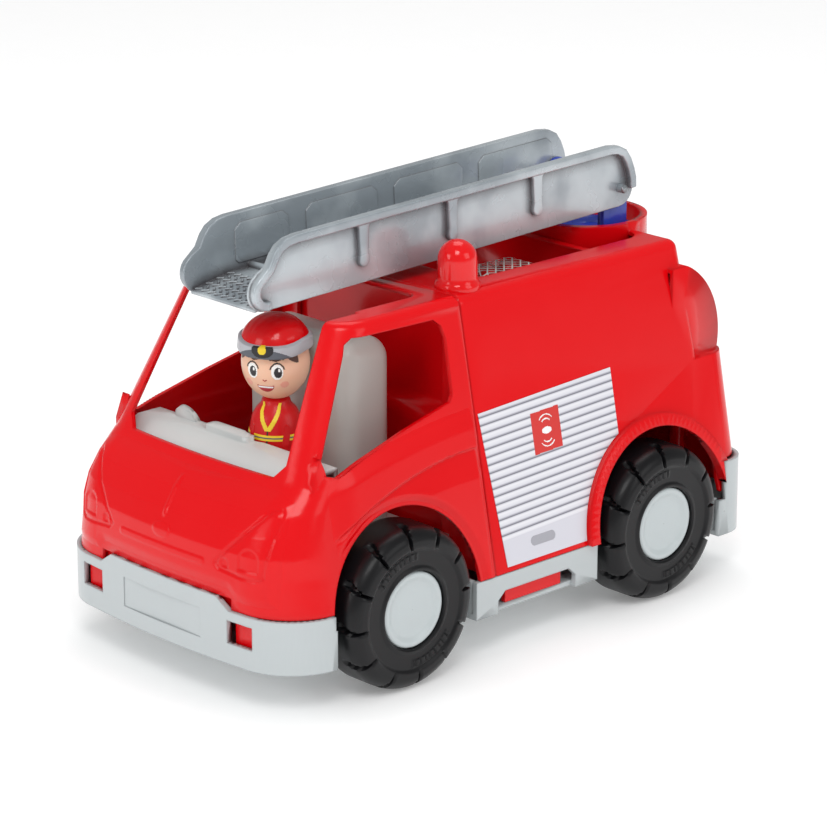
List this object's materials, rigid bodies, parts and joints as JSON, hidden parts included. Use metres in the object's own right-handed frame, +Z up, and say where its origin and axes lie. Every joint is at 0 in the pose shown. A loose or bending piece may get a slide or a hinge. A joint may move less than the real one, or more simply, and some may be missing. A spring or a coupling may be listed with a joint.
{
  "type": "toy fire engine",
  "caption": "Open-cab toy fire engine with rolling wheels, a swivelling and rising roof ladder, a driver figure and a netted load of bricks.",
  "frame": {"origin": "centre of the overall box's bottom, on the floor under the tyres", "axes": "+Z up, the cab faces -Y, the driver's left side is +X"},
  "size_m": [0.2, 0.344, 0.2332],
  "materials": {
    "red_shell": "glossy",
    "grey_chassis": "satin",
    "light_interior": "satin",
    "seat_grey": "satin",
    "blue_plate": "satin",
    "spring_steel": "bright",
    "silver_ladder": "silvery satin",
    "tyre_black": "satin",
    "hub_grey": "satin",
    "figure_red": "glossy",
    "figure_skin": "satin",
    "brick_red": "glossy",
    "brick_grey": "glossy",
    "net_cord": "knotted cord",
    "shutter_print": "printed sheet"
  },
  "bodies": {
    "body": {"chassis_base": "grey_chassis", "cab_shell": "red_shell", "box_shell": "red_shell", "cab_interior": "light_interior", "seat_bench": "seat_grey", "cargo_tray": "red_shell", "beacon": "red_shell", "red_bricks": "brick_red", "grey_bricks": "brick_grey", "cargo_net": "net_cord", "left_shutter": "shutter_print", "right_shutter": "shutter_print", "body_screws": "spring_steel"},
    "front_wheels": {"front_axle": "spring_steel", "front_left_tyre": "tyre_black", "front_right_tyre": "tyre_black", "front_left_hub_cap": "hub_grey", "front_right_hub_cap": "hub_grey"},
    "rear_wheels": {"rear_axle": "spring_steel", "rear_left_tyre": "tyre_black", "rear_right_tyre": "tyre_black", "rear_left_hub_cap": "hub_grey", "rear_right_hub_cap": "hub_grey"},
    "turntable": {"turntable": "blue_plate", "turntable_clip": "spring_steel"},
    "ladder": {"ladder": "silver_ladder", "ladder_pin": "spring_steel"},
    "figure_slider": {"figure_body": "figure_red"},
    "figure_top": {"figure_head": "figure_skin", "figure_helmet": "figure_red"}
  },
  "joints": [
    {"name": "front_axle_spin", "type": "hinge", "parent": "body", "child": "front_wheels", "pos_m": [0, -0.0887, 0.0425], "axis": [1, 0, 0], "continuous": true},
    {"name": "rear_axle_spin", "type": "hinge", "parent": "body", "child": "rear_wheels", "pos_m": [0, 0.0967, 0.0425], "axis": [1, 0, 0], "continuous": true},
    {"name": "turntable_swivel", "type": "hinge", "parent": "body", "child": "turntable", "pos_m": [0, 0.134, 0.182], "axis": [0, 0, 1], "range_deg": [-180, 3]},
    {"name": "ladder_pitch", "type": "hinge", "parent": "turntable", "child": "ladder", "pos_m": [0, 0.134, 0.208], "axis": [-1, 0, 0], "range_deg": [0, 65]},
    {"name": "figure_lift", "type": "slide", "parent": "body", "child": "figure_slider", "axis": [0, 0, 1], "range_m": [0, 0.007]},
    {"name": "figure_turn", "type": "hinge", "parent": "figure_slider", "child": "figure_top", "pos_m": [0.006, -0.098, 0.136], "axis": [0, 0, 1], "continuous": true}
  ]
}
